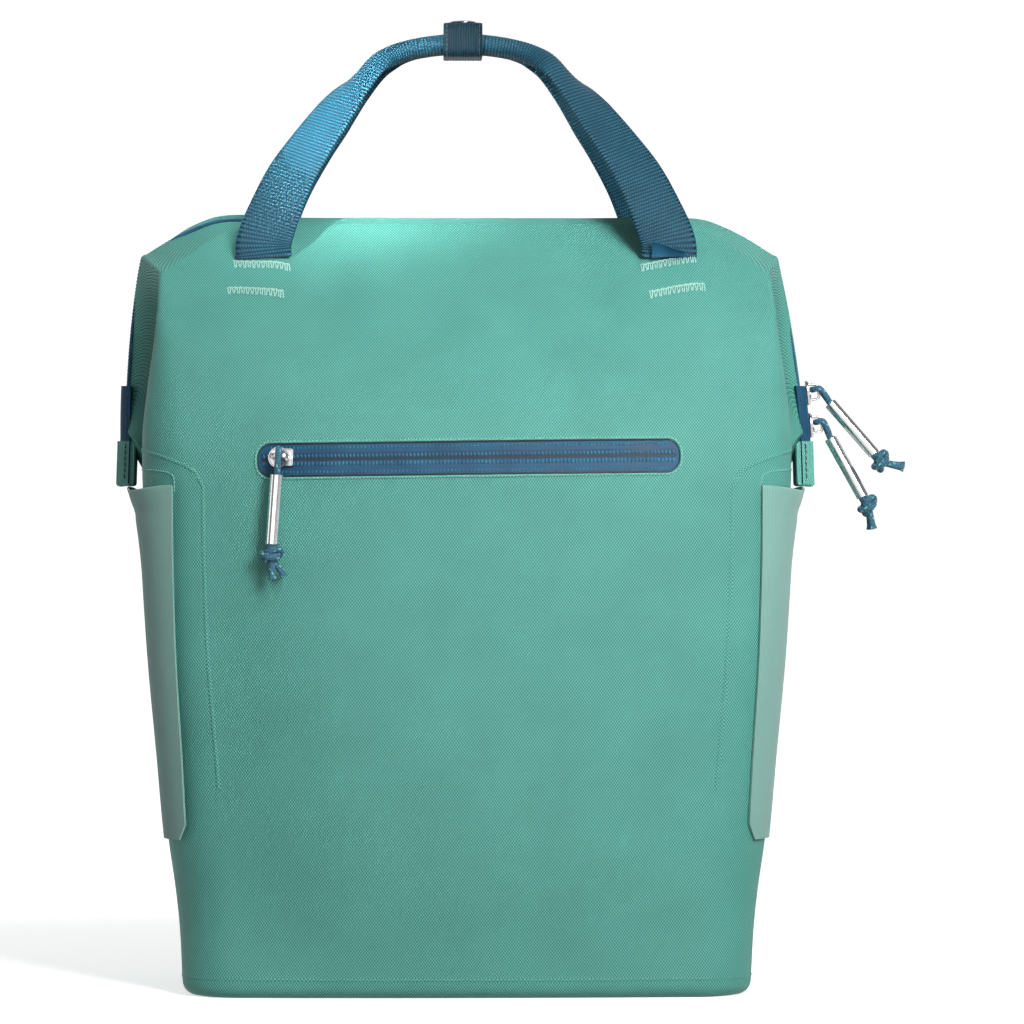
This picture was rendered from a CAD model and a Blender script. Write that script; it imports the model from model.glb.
# Cooler backpack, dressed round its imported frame: a welded twill body with a folded, zipped top, two carry loops
# in a snapped keeper, stretch side pockets, a front zip, corded zip pulls and padded shoulder straps.
# Lengths are millimetres until a mesh is made in metres. +Z is up, the front faces -Y and +X is to its right.
import math

import bpy
import numpy as np
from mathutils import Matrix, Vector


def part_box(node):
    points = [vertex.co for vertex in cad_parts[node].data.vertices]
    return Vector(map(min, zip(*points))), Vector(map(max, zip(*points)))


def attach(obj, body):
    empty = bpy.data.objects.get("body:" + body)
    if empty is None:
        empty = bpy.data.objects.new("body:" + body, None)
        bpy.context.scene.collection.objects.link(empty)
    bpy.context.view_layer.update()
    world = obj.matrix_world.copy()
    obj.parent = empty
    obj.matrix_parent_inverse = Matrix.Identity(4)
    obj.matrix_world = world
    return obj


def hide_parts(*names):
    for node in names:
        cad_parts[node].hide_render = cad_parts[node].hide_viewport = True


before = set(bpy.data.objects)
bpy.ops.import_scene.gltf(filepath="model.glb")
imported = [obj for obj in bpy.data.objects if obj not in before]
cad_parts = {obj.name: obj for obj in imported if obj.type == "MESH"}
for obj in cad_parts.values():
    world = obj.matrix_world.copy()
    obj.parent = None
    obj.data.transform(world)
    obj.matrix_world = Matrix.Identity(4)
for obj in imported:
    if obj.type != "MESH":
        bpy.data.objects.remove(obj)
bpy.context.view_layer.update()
MM = 0.001


def box_mm(node):
    low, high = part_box(node)
    return np.array(low) / MM, np.array(high) / MM


# Camera and stage

WORLD_COLOUR, WORLD_STRENGTH = (0.96, 0.98, 1, 1), 0.22
FLOOR_HALF, FLOOR_FRONT = 9000.0, -7000.0  # half its width, and how far it runs to the front
WALL_PLACE, WALL_RISE, WALL_BEND = 3200.0, 6000.0, 900.0  # the wall that it rises into
VIEW_TURN = math.radians(1.2)  # the camera stands a little to the bag's left
VIEW_DISTANCE = 2500.0
VIEW_PLANE = -93.0  # the front panel's depth, where one pixel is half a millimetre
VIEW_CENTRE = (24.0, 244.0)
PIXEL = 0.5
IMAGE_WIDTH = 1024
SENSOR = 36.0


def add_camera():
    data = bpy.data.cameras.new("camera")
    data.sensor_width = SENSOR
    data.lens = SENSOR * VIEW_DISTANCE / (IMAGE_WIDTH * PIXEL)
    data.clip_end = 100
    camera = bpy.data.objects.new("camera", data)
    bpy.context.scene.collection.objects.link(camera)
    ahead = np.array([math.sin(VIEW_TURN), math.cos(VIEW_TURN)])
    right = np.array([ahead[1], -ahead[0]])
    place = right * VIEW_CENTRE[0] + ahead * (VIEW_PLANE - VIEW_DISTANCE)
    camera.location = (place[0] * MM, place[1] * MM, VIEW_CENTRE[1] * MM)
    camera.rotation_euler = (math.pi / 2, 0, -VIEW_TURN)
    bpy.context.scene.camera = camera


def add_light(name, place, aim, width, height, power, spread=180, shine_only=False):
    """A soft box at a place in metres, turned to what it lights; a small spread keeps its light off the rest."""
    data = bpy.data.lights.new(name, "AREA")
    data.shape = "RECTANGLE"
    data.spread = math.radians(spread)
    data.size = width
    data.size_y = height
    data.energy = power
    light = bpy.data.objects.new(name, data)
    bpy.context.scene.collection.objects.link(light)
    way = np.array(place, float) - np.array(aim, float)
    flat = math.hypot(way[0], way[1])
    light.visible_diffuse = not shine_only
    light.location = place
    light.rotation_euler = (math.atan2(flat, way[2]), 0, math.atan2(way[0], -way[1]))


def add_lights():
    add_light("key", (0.75, -1.5, 0.85), (0.15, -0.09, 0.24), 0.5, 0.7, 2.4, spread=48)
    add_light("beam", (0.4, -0.95, 1.3), (0.02, -0.06, 0.45), 0.5, 0.5, 0.42, spread=24)
    add_light("loop", (-0.75, -1.1, 0.62), (-0.1, -0.08, 0.458), 0.06, 0.06, 0.16, spread=7)
    add_light("side", (-2.2, -0.45, 0.5), (-0.16, 0, 0.15), 0.8, 0.8, 2.4)
    add_light("card", (-0.4, -3.3, 0.8), (0, 0, 0.25), 3.4, 3.0, 44, shine_only=True)
    world = bpy.data.worlds.new("studio")
    world.use_nodes = True
    background = world.node_tree.nodes["Background"]
    background.inputs["Color"].default_value = WORLD_COLOUR
    background.inputs["Strength"].default_value = WORLD_STRENGTH
    bpy.context.scene.world = world
    bpy.context.scene.view_settings.view_transform = "Standard"


# Measures of the body, as built in the frame

RIDGE = box_mm("body_shell")[1][2]  # top of the closed mouth
SPRING = 262.0  # where the upright walls end and the folded top begins
WIDTH = 330.0  # outside width at the spring height
DEPTH = 184.0  # outside depth at the spring height
BASE_EDGE = 7.0  # rounding between walls and base
CORNER = 30.0  # upright corners
CREASE = 3.0  # the same corners pressed to a crease near the top
BULGE = 3.0  # how far the front and back panels bow out
PAD = 8.0  # padded walls
SKIN = 2.2  # unpadded fabric of the folded top
GAP = 0.3
ELBOW_DROP = 29.0  # crease's top corner, below the ridge
LIP = 3.6  # upright lip of the panels along the mouth
MOUTH_HALF = 165.0  # ridge corner, where the mouth turns down the sides
MOUTH_DROP = 19.0  # the same corner, below the ridge
FIN_REACH = 11.0  # how far the mouth's ends stand out from the walls
FIN_FOOT = 20.0  # mouth's ends above the spring height
FIN_BOW = 2.0  # outward bow of the mouth down each side
TUCK = 21.0  # how deep the side gussets fold inwards
ELBOW_TURN = 0.75  # share of the folded top that lies below the elbow
MOUTH_END = 0.05  # share of the mouth's side run over which it closes to a point
TOP_SKEW = -3.5  # sideways lean of the soft gussets, towards -X
ZIP_WIDTH = 12.4
MOUTH_SLOT = ZIP_WIDTH / 2 + GAP
TOP_RISE = RIDGE - SPRING

# Each table's first row is where it is read; the others are shares of the named sizes above.
WALLS = {
    "at": [0.027, 0.115, 0.191, 0.302, 0.458, 0.649, 0.84, 1],
    "width": [0.874, 0.883, 0.896, 0.921, 0.943, 0.971, 0.99, 1],
    "depth": [0.945, 0.955, 0.963, 0.973, 0.984, 0.993, 1, 1],
}
TOP = {
    "at": [0, 0.17, 0.36, 0.545, 0.776, 0.918, 1],
    "width": [1, 0.998, 0.98, 0.96, 0.948, 0.946, 0.946],
    "depth": [1, 0.95, 0.83, 0.665, 0.4, 0.215, 0.11],
}
FALL = {
    "at": [0, 0.7, 0.78, 0.85, 0.92, 1],
    "fall": [0, 0, 0.05, 0.27, 0.57, 1],
}


def look_up(table, column, value):
    """Cubic interpolation in a table, with slopes taken from the neighbouring rows."""
    key = np.array(table["at"], float)
    row = np.array(table[column], float)
    last = len(key) - 1
    before = np.maximum(np.arange(last + 1) - 1, 0)
    after = np.minimum(np.arange(last + 1) + 1, last)
    slope = (row[after] - row[before]) / (key[after] - key[before])
    at = np.clip(value, key[0], key[last])
    i = np.clip(np.searchsorted(key, at) - 1, 0, last - 1)
    span = key[i + 1] - key[i]
    u = (at - key[i]) / span
    rise = row[i + 1] - row[i]
    m0 = slope[i] * span
    m1 = slope[i + 1] * span
    return row[i] + u * m0 + u**2 * (3 * rise - 2 * m0 - m1) + u**3 * (m0 + m1 - 2 * rise)


def wall_width(z):
    return WIDTH / 2 * look_up(WALLS, "width", z / SPRING)


def wall_depth(z):
    return DEPTH / 2 * look_up(WALLS, "depth", z / SPRING)


def crease_width(z):
    return WIDTH / 2 * look_up(TOP, "width", (z - SPRING) / TOP_RISE)


def lean_depth(z):
    return DEPTH / 2 * look_up(TOP, "depth", (z - SPRING) / TOP_RISE)


def ridge_fall(along):
    return look_up(FALL, "fall", along)


def bow(along, z):
    return BULGE * (1 - along**2) * np.clip((RIDGE - z) / TOP_RISE, 0, 1)


def lerp(a, b, share):
    return a + (b - a) * share


def smooth(low, high, value):
    """0 below low, 1 above high, with an even ease between."""
    u = np.clip((value - low) / (high - low), 0, 1)
    return u * u * (3 - 2 * u)


def hump(value, middle, width):
    return np.exp(-(((value - middle) / width) ** 2))


def stack(x, y, z):
    return np.stack(np.broadcast_arrays(x, y, z), -1).astype(float)


# Body surface. `around` runs over a quarter: 0 to 1 across the front panel from its middle, 1 to 2 round the
# upright corner, 2 to 3 along the side to its middle. `height` is 0 at the base, 1 at the spring height and 2 at
# the mouth.


def lower_point(around, z):
    edge = BASE_EDGE - np.sqrt(np.maximum(z * (2 * BASE_EDGE - z), 0))
    inset = np.where(z < BASE_EDGE, edge, 0)
    x = wall_width(z) - inset
    y = wall_depth(z) - inset
    c = CORNER - inset
    along = np.clip(around, 0, 1)
    a = math.pi / 2 * np.clip(around - 1, 0, 1)
    left = 3 - np.clip(around, 2, 3)
    px = np.where(around <= 1, along * (x - c), x - c + c * np.sin(a))
    py = np.where(around <= 2, -y + c - c * np.cos(a), -(y - c) * left)
    py = np.where(around <= 1, -y - bow(along, z), py)
    return stack(px, py, z)


def upper_point(around, level):
    climb = np.minimum(level / ELBOW_TURN, 1)
    strip = np.clip((level - ELBOW_TURN) / (1 - ELBOW_TURN), 0, 1)[..., None]
    crease_z = lerp(SPRING, RIDGE - ELBOW_DROP, climb)
    panel_z = lerp(SPRING, RIDGE - LIP, climb)
    radius = lerp(CORNER, CREASE, np.minimum(climb * 1.3, 1))
    elbow_x = crease_width(crease_z)
    elbow_y = -lean_depth(crease_z)
    mouth_z = RIDGE - MOUTH_DROP

    along = np.clip(around, 0, 1)
    z = lerp(panel_z, crease_z, ridge_fall(along))
    low = stack(along * (elbow_x - radius), -lean_depth(z) - bow(along, z), z)
    high = stack(along * (MOUTH_HALF - CREASE), -MOUTH_SLOT, RIDGE - MOUTH_DROP * ridge_fall(along))
    panel = lerp(low, high, strip)

    a = math.pi / 2 * np.clip(around - 1, 0, 1)
    turned = CREASE * (1 - np.cos(a))
    low = stack(elbow_x - radius + radius * np.sin(a), elbow_y + radius - radius * np.cos(a), crease_z)
    high = stack(MOUTH_HALF - CREASE + CREASE * np.sin(a), -MOUTH_SLOT, mouth_z - turned)
    corner = lerp(low, high, strip)

    s = np.clip(around - 2, 0, 1)
    square = np.asarray(level) ** 2
    y = corner[..., 1] * lerp(1 - s, np.minimum((1 - s) / MOUTH_END, 1), square)
    tuck = TUCK * np.sin(math.pi * level) * np.sin(math.pi * s)
    tip_x = WIDTH / 2 + FIN_REACH * level
    tip_z = SPRING + FIN_FOOT * level
    x = lerp(corner[..., 0], tip_x, s) + FIN_BOW * 4 * s * (1 - s) * level - tuck
    side = stack(x, y, lerp(corner[..., 2], tip_z, s))
    at = np.asarray(around)[..., None]
    return np.where(at <= 1, panel, np.where(at <= 2, corner, side))


def body_point(around, height):
    around, height = np.broadcast_arrays(np.asarray(around, float), np.asarray(height, float))
    low = lower_point(around, np.minimum(height, 1) * SPRING)
    high = upper_point(around, np.clip(height - 1, 0, 1))
    return np.where((height <= 1)[..., None], low, high)


def unit(v):
    return v / np.maximum(np.linalg.norm(v, axis=-1, keepdims=True), 1e-9)


def body_normal(around, height):
    step = 2e-3
    u0, u1 = np.maximum(around - step, 0), np.minimum(around + step, 3)
    v0, v1 = np.maximum(height - step, step), np.minimum(height + step, 2)
    du = body_point(u1, height) - body_point(u0, height)
    dv = body_point(around, v1) - body_point(around, v0)
    return unit(np.cross(du, dv))


SHOULDER_TIP = 0.34  # how steeply the mouth's left shoulder tips forward
SHOULDER_SPAN = (-146.0, -106.0)


def leaned(p):
    """Sideways lean of the gussets, and the left shoulder tipped forward so that its zip shows."""
    foot = SPRING + FIN_FOOT
    rise = np.clip((p[..., 2] - foot) / (RIDGE - ELBOW_DROP - foot), 0, 1)
    inward = np.clip(1 - np.abs(p[..., 1]) / (DEPTH / 4), 0, 1)
    low, high = SHOULDER_SPAN
    near = smooth(low - 12, low + 8, p[..., 0]) * smooth(high + 14, high - 8, p[..., 0])
    tip = SHOULDER_TIP * near * smooth(RIDGE - 60, RIDGE - 26, p[..., 2])
    return p + stack(TOP_SKEW * rise * inward, 0, tip * np.clip(p[..., 1], -8, 8))


# Soft shape that the flat panels take: filled out in the middle, rounded off towards the corners and pulled by
# the loops.

LOOP_SPAN = 208.0  # between the middles of a carry loop's two ends
LOOP_FOOT = RIDGE - 22.0
FILL = 3.5  # how far the contents push the front's middle out
DRAW = 7.0  # how far its corners fall back from there
LEFT_DRAW, RIGHT_DRAW = 7.0, 2.5  # and how much more beside each corner
DRAW_FOOT, DRAW_TOP = 40.0, 285.0  # where that starts above the base, and where it begins to narrow
WHOLE_FOOT, WHOLE_TOP = 70.0, 280.0  # between these the whole front is filled out
BACK_SHARE = 0.3
LOOP_PULL = 1.8  # how far a loop's end lifts the panel
LOOP_DENT = 1.8  # and how deep the cloth dips beside it
WRINKLE, WRINKLE_RUN = 0.45, 9.5  # height and run of the fine creases under the mouth
WAVER, WAVER_ACROSS, WAVER_UP = 0.4, 31.0, 43.0  # height and runs of the slow waves below
CORNER_SHARE = CORNER / (WIDTH / 2 - CORNER)


def drawn_back(around, side_x, z):
    """How far the front falls back, straight towards the middle plane."""
    corner = np.sin(math.pi / 2 * np.clip(around - 1, 0, 1))
    share = np.clip(around, 0, 1) + CORNER_SHARE * corner
    rise = smooth(DRAW_TOP, RIDGE - ELBOW_DROP, z)
    beside = smooth(lerp(0.5, 0.95, rise), 1.06, share) * (1 - rise)
    more = np.where(np.asarray(side_x) < 0, LEFT_DRAW, RIGHT_DRAW)
    whole = (DRAW * share**2 - FILL) * smooth(0, WHOLE_FOOT, z) * smooth(RIDGE - 26, WHOLE_TOP, z)
    return (whole + more * beside * smooth(0, DRAW_FOOT, z)) * np.clip(3 - around, 0, 1)


def fallen_back(around, side_x, side_y, z):
    """The same as a shift in Y on any quarter of the body; the back takes a smaller share of it."""
    share = np.where(np.asarray(side_y) > 0, 1, BACK_SHARE)
    return stack(0, drawn_back(np.asarray(around), side_x, z) * share * side_y, 0)


def relief(around, p, front):
    """Height of the soft shape over the plain body; `front` is 1 on the front half and 0 behind."""
    x, z = p[..., 0], p[..., 2]
    near = hump(np.abs(x), LOOP_SPAN / 2, 24) * hump(z, LOOP_FOOT - 14, 24)
    beside = hump(np.abs(x), LOOP_SPAN / 2 - 36, 15) * hump(z, LOOP_FOOT - 18, 26)
    made = (LOOP_PULL * near - LOOP_DENT * beside) * (around < 1.2)
    creases = WRINKLE * np.sin(x / WRINKLE_RUN + 0.6) * hump(z, RIDGE - 38, 24) * smooth(1, 0.55, around)
    waves = np.sin(x / WAVER_ACROSS + 0.8) * np.sin(z / WAVER_UP + 0.4)
    calm = WAVER * waves * smooth(1.1, 0.8, around)
    return made * lerp(0.35, 1, front) + creases + calm * smooth(10, 60, z) * smooth(350, 300, z) * front


def skin(around, height, side_x, side_y, lift=0.0):
    """A point of the finished surface, `lift` above it, with its outward normal."""
    p = body_point(around, height)
    n = body_normal(around, height)
    turn = stack(side_x, side_y, 1.0)
    at = p * turn
    out = n * turn
    front = (np.asarray(side_y) > 0) * 1.0
    soft = relief(around, at, front) + lift
    return leaned(at + out * soft[..., None] + fallen_back(around, side_x, side_y, at[..., 2])), out


def panel_place(x, z):
    """Where on the front panel a place lies, as around and height."""
    climb = np.clip((z - SPRING) / (RIDGE - LIP - SPRING), 0, 1)
    crease_z = lerp(SPRING, RIDGE - ELBOW_DROP, climb)
    radius = lerp(CORNER, CREASE, np.minimum(climb * 1.3, 1))
    flat = np.where(z <= SPRING, wall_width(z) - CORNER, crease_width(crease_z) - radius)
    height = np.where(z <= SPRING, z / SPRING, 1 + climb * ELBOW_TURN)
    return np.abs(x) / flat, height


def on_panel(x, z, lift, side_y=1):
    around, height = panel_place(np.asarray(x, float), np.asarray(z, float))
    side_x = np.where(np.asarray(x) < 0, -1.0, 1.0)
    return skin(around, height, side_x, side_y, lift)


# Meshes


class Build:
    """Collects grids of points, in millimetres, into one mesh."""

    def __init__(self):
        self.points = []
        self.faces = []
        self.uvs = []
        self.slots = []
        self.count = 0

    def grid(self, points, closed=False, u=None, v=None, slot=0, flip=False, caps=False):
        """Quads between rows of points; closed joins each row's end to its start, caps closes the end rows."""
        points = np.asarray(points, float)
        rows, cols = points.shape[:2]
        wide = cols if closed else cols - 1
        if u is None:
            u = np.arange(wide + 1, dtype=float)
        if v is None:
            v = np.arange(rows, dtype=float)
        u = np.asarray(u, float)
        if u.ndim < 3:
            u = np.broadcast_to(u, (rows, wide + 1))
            u = np.stack([u[:, :-1], u[:, 1:]], -1)
        v = np.broadcast_to(np.asarray(v, float).reshape(rows, -1), (rows, wide + 1))
        r, c = np.meshgrid(np.arange(rows - 1), np.arange(wide), indexing="ij")
        corners = [(0, 0), (0, 1), (1, 1), (1, 0)]
        if flip:
            corners = corners[::-1]
        index = [self.count + (r + i) * cols + (c + j) % cols for i, j in corners]
        place = [np.stack([u[r + i, c, j], v[r + i, c + j]], -1) for i, j in corners]
        faces = np.stack(index, -1).reshape(-1, 4)
        self.faces += faces.tolist()
        self.uvs += np.stack(place, -2).reshape(-1, 2).tolist()
        self.slots += [slot] * len(faces)
        self.points += points.reshape(-1, 3).tolist()
        start = self.count
        self.count += rows * cols
        if caps:
            self.cap(start, cols, points[0].mean(0), slot, not flip)
            self.cap(start + (rows - 1) * cols, cols, points[-1].mean(0), slot, flip)

    def cap(self, start, cols, middle, slot, flip):
        self.points.append(list(middle))
        for i in range(cols):
            a, b = start + i, start + (i + 1) % cols
            self.faces.append([b, a, self.count] if flip else [a, b, self.count])
            self.uvs += [[0, 0]] * 3
            self.slots.append(slot)
        self.count += 1

    def make(self, name, *materials, sharp=40):
        mesh = bpy.data.meshes.new(name)
        mesh.from_pydata((np.array(self.points) * MM).tolist(), [], self.faces)
        layer = mesh.uv_layers.new(name="cloth")
        layer.data.foreach_set("uv", np.array(self.uvs, np.float32).ravel())
        for material in materials:
            mesh.materials.append(material)
        mesh.polygons.foreach_set("material_index", self.slots)
        mesh.validate()
        mesh.shade_smooth()
        mesh.set_sharp_from_angle(angle=math.radians(sharp))
        made = bpy.data.objects.new(name, mesh)
        bpy.context.scene.collection.objects.link(made)
        return made


def settle(piece, slot, *nodes):
    """The piece rides on the one body, takes its finish from the slot and stands for the nodes."""
    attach(piece, "root")
    if nodes:
        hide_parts(*nodes)
    return piece


def distances(points):
    """How far along a row of points each one lies."""
    steps = np.linalg.norm(np.diff(points, axis=0), axis=-1)
    return np.concatenate([[0], np.cumsum(steps)])


def sampled(points, at, spread):
    """Points read off a row of them, at other distances along it."""
    return np.stack([np.interp(spread, at, column) for column in points.T], -1)


def closed_up(outline):
    return np.vstack([outline, outline[:1]])


def girth_of(outline):
    return distances(closed_up(outline))


def heading(path):
    return unit(np.gradient(path, axis=0))


def outward(along):
    """Square to a heading that lies in the plane y = 0."""
    return stack(-along[:, 2], 0, along[:, 0])


def full_turn(sides):
    return np.linspace(0, 2 * math.pi, sides, endpoint=False)


def through(points, count):
    """Evenly spread points on a smooth curve through a few."""
    p = np.asarray(points, float)
    p = np.vstack([2 * p[:1] - p[1:2], p, 2 * p[-1:] - p[-2:-1]])
    u = np.linspace(0, 1, 24, endpoint=False)[:, None]
    dense = []
    for a, b, c, d in zip(p, p[1:], p[2:], p[3:]):
        dense.append(0.5 * (2 * b + (c - a) * u + (2 * a - 5 * b + 4 * c - d) * u**2
                            + (3 * b - a - 3 * c + d) * u**3))
    dense = np.vstack(dense + [p[-2][None]])
    at = distances(dense)
    return sampled(dense, at, np.linspace(0, at[-1], count))


def tube(build, points, radius, sides=10, slot=0, around=None, ends=True):
    """A round strand along points; `radius` is one number or one for each point."""
    points = np.asarray(points, float)
    along = heading(points)
    out = np.cross(along[0], [0, 0, 1.0])
    if np.linalg.norm(out) < 0.1:
        out = np.cross(along[0], [0, 1.0, 0])
    outs = []
    for t in along:
        out = unit(out - t * (out @ t))
        outs.append(out)
    outs = np.array(outs)
    across = np.cross(along, outs)
    a = full_turn(sides)
    radius = np.broadcast_to(radius, len(points))[:, None, None]
    rings = points[:, None] + radius * (outs[:, None] * np.cos(a)[:, None] + across[:, None] * np.sin(a)[:, None])
    girth = around or 2 * math.pi * float(np.mean(radius))
    build.grid(rings, closed=True, u=np.linspace(0, girth, sides + 1), v=distances(points), slot=slot, caps=ends)


def rounded(length, height, radius, steps=4):
    """Outline of a bar with round corners, anticlockwise."""
    x, y = length / 2, height / 2
    r = min(radius, x, y)
    points = []
    for corner, (cx, cy) in enumerate([(x - r, -y + r), (x - r, y - r), (-x + r, y - r), (-x + r, -y + r)]):
        for i in range(steps + 1):
            a = math.pi / 2 * (corner - 1 + i / steps)
            points.append((cx + r * math.cos(a), cy + r * math.sin(a)))
    return np.array(points)


# Materials


def srgb(red, green, blue):
    """A colour from its 0 to 255 screen values."""
    made = [((v / 255 + 0.055) / 1.055) ** 2.4 if v > 10 else v / 3295 for v in (red, green, blue)]
    return (*made, 1)


class Finish:
    """A node material, built by short calls."""

    def __init__(self, name, roughness=0.6, metallic=0.0, **sockets):
        self.material = bpy.data.materials.new(name)
        self.material.use_nodes = True
        self.tree = self.material.node_tree
        self.shader = self.tree.nodes["Principled BSDF"]
        self.put(self.shader.inputs["Roughness"], roughness)
        self.put(self.shader.inputs["Metallic"], metallic)
        for key, value in sockets.items():
            self.put(self.shader.inputs[key.replace("_", " ")], value)

    def put(self, socket, value):
        if isinstance(value, bpy.types.NodeSocket):
            self.tree.links.new(value, socket)
        else:
            socket.default_value = value

    def node(self, kind, inputs=None, **settings):
        made = self.tree.nodes.new("ShaderNode" + kind)
        for key, value in settings.items():
            setattr(made, key, value)
        for key, value in (inputs or {}).items():
            self.put(made.inputs[key], value)
        return made

    def math(self, operation, a, b=0.0):
        return self.node("Math", {0: a, 1: b}, operation=operation).outputs[0]

    def cloth(self):
        """The cloth's own two directions, in millimetres."""
        uv = self.node("UVMap", uv_map="cloth")
        split = self.node("SeparateXYZ", {0: uv.outputs[0]})
        return split.outputs[0], split.outputs[1]

    def wave(self, value, pitch, shift=0.0):
        """Sine of a length, once for each pitch."""
        turned = self.math("MULTIPLY_ADD", value, 2 * math.pi / pitch)
        turned.node.inputs[2].default_value = shift
        return self.math("SINE", turned)

    def noise(self, scale, detail=2.0, stretch=None):
        place = self.node("TexCoord").outputs["Object"]
        if stretch:
            place = self.node("Mapping", {"Vector": place, "Scale": stretch}).outputs[0]
        return self.node("TexNoise", {"Vector": place, "Scale": scale, "Detail": detail}).outputs[0]

    def range(self, value, low, high, to_low, to_high):
        inputs = {0: value, 1: low, 2: high, 3: to_low, 4: to_high}
        return self.node("MapRange", inputs).outputs[0]

    def mix(self, share, a, b):
        made = self.node("Mix", data_type="RGBA")
        self.put(made.inputs[0], share)
        self.put(made.inputs[6], a)
        self.put(made.inputs[7], b)
        return made.outputs[2]

    def colour(self, value):
        self.put(self.shader.inputs["Base Color"], value)

    def clouded(self, shade, cloudy):
        """The shade, brighter or darker by the cloudy value."""
        self.colour(self.node("HueSaturation", {"Color": shade, "Value": cloudy}).outputs[0])

    def bump(self, height, distance, strength=1.0):
        inputs = {"Height": height, "Distance": distance * MM, "Strength": strength}
        below = self.shader.inputs["Normal"].links
        if below:
            inputs["Normal"] = below[0].from_socket
        self.put(self.shader.inputs["Normal"], self.node("Bump", inputs).outputs[0])


FOLD_WEAVE, FOLD_SHADE = 0.3, 0.25  # how much of the weave and of the brightness is left deep in a fold


def twill(name, dark, light, across=1.4, along=1.92):
    """Coated plain weave: a lattice of raised threads, lighter than its gaps, and darkened in the folds."""
    made = Finish(name, roughness=0.5, Specular_IOR_Level=0.3)
    u, v = made.cloth()
    uneven = made.range(made.noise(150, 2), 0.3, 0.7, -0.12, 0.12)
    threads = made.math("MULTIPLY", made.wave(u, across), made.wave(made.math("ADD", v, uneven), along))
    fold = made.node("Attribute", attribute_name="fold").outputs["Fac"]
    threads = made.math("MULTIPLY", threads, made.range(fold, 0, 1, 1, FOLD_WEAVE))
    height = made.range(threads, -0.7, 0.8, 0, 1)
    shade = made.mix(height, dark, light)
    cloudy = made.range(made.noise(30, 3), 0.3, 0.7, 0.95, 1.05)
    cloudy = made.math("MULTIPLY", cloudy, made.range(fold, 0, 1, 1, FOLD_SHADE))
    made.clouded(shade, cloudy)
    made.put(made.shader.inputs["Roughness"], made.range(height, 0, 1, 0.64, 0.44))
    made.bump(made.noise(420, 2), 0.05, 0.5)
    made.bump(height, 0.2, 0.9)
    return made.material


def knit(name, dark, light):
    """Fine stretch knit: close upright ribs with small stitches."""
    made = Finish(name, roughness=0.85, Sheen_Weight=0.25, Sheen_Roughness=0.5)
    u, v = made.cloth()
    ribs = made.wave(u, 0.9)
    loops = made.math("MULTIPLY", ribs, made.wave(v, 1.1))
    height = made.range(made.math("ADD", ribs, loops), -2, 2, 0, 1)
    shade = made.mix(height, dark, light)
    cloudy = made.range(made.noise(60, 3), 0.3, 0.7, 0.97, 1.03)
    made.clouded(shade, cloudy)
    made.bump(height, 0.1, 0.7)
    return made.material


def ribbed(name, dark, light, rib=1.8, dot=1.4, half=14.0):
    """Webbing: thread dots along ribs that run across the strap, and a chain of loops down each edge."""
    made = Finish(name, roughness=0.55, Specular_IOR_Level=0.2)
    u, v = made.cloth()
    ribs = made.wave(v, rib, -math.pi / 2)
    dots = made.math("MULTIPLY", made.wave(u, dot), made.wave(v, rib * 2))
    body = made.math("ADD", ribs, made.math("MULTIPLY", dots, 1.1))
    edge = made.range(made.math("ABSOLUTE", u), half - 1.9, half - 1.5, 0, 1)
    chain = made.math("MULTIPLY", made.wave(v, rib, -math.pi / 2), 1.7)
    pattern = made.node("Mix", {0: edge, 2: body, 3: chain}).outputs[0]
    height = made.range(pattern, -1.5, 1.7, 0, 1)
    shade = made.mix(height, dark, light)
    cloudy = made.range(made.noise(90, 3), 0.3, 0.7, 0.9, 1.1)
    made.clouded(shade, cloudy)
    made.bump(made.noise(1500, 1), 0.05, 0.5)
    made.bump(height, 0.34, 1.0)
    return made.material


def braid(name, dark, light, fleck):
    """Braided cord: crossing strands with a few pale ones among them."""
    made = Finish(name, roughness=0.6, Sheen_Weight=0.2, Sheen_Roughness=0.4)
    u, v = made.cloth()
    one = made.math("ADD", u, made.math("MULTIPLY", v, 0.55))
    two = made.math("SUBTRACT", u, made.math("MULTIPLY", v, 0.55))
    strands = made.math("MULTIPLY", made.wave(one, 1.25), made.wave(two, 1.25))
    height = made.range(strands, -1, 1, 0, 1)
    shade = made.mix(height, dark, light)
    stripe = made.range(made.wave(one, 5.0), 0.86, 0.95, 0, 1)
    broken = made.range(made.wave(two, 2.5), -0.1, 0.1, 0, 1)
    made.colour(made.mix(made.math("MULTIPLY", stripe, broken), shade, fleck))
    made.bump(height, 0.25, 0.9)
    return made.material


def tape(name, dark, light):
    """Coated zip tape: nearly smooth, with a close weave."""
    made = Finish(name, roughness=0.5, Specular_IOR_Level=0.25)
    u, v = made.cloth()
    weave = made.math("MULTIPLY", made.wave(u, 0.8), made.wave(v, 0.8))
    height = made.range(weave, -1, 1, 0, 1)
    cloud = made.range(made.noise(70, 3), 0.3, 0.7, 0, 1)
    made.colour(made.mix(cloud, dark, light))
    made.put(made.shader.inputs["Roughness"], made.range(cloud, 0, 1, 0.45, 0.6))
    made.bump(height, 0.05, 0.6)
    return made.material


def thread(name, dark, light):
    """Twisted sewing thread."""
    made = Finish(name, roughness=0.55, Sheen_Weight=0.2)
    u, v = made.cloth()
    twist = made.wave(made.math("ADD", u, v), 0.6)
    height = made.range(twist, -1, 1, 0, 1)
    made.colour(made.mix(height, dark, light))
    made.bump(height, 0.08, 0.8)
    return made.material


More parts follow.
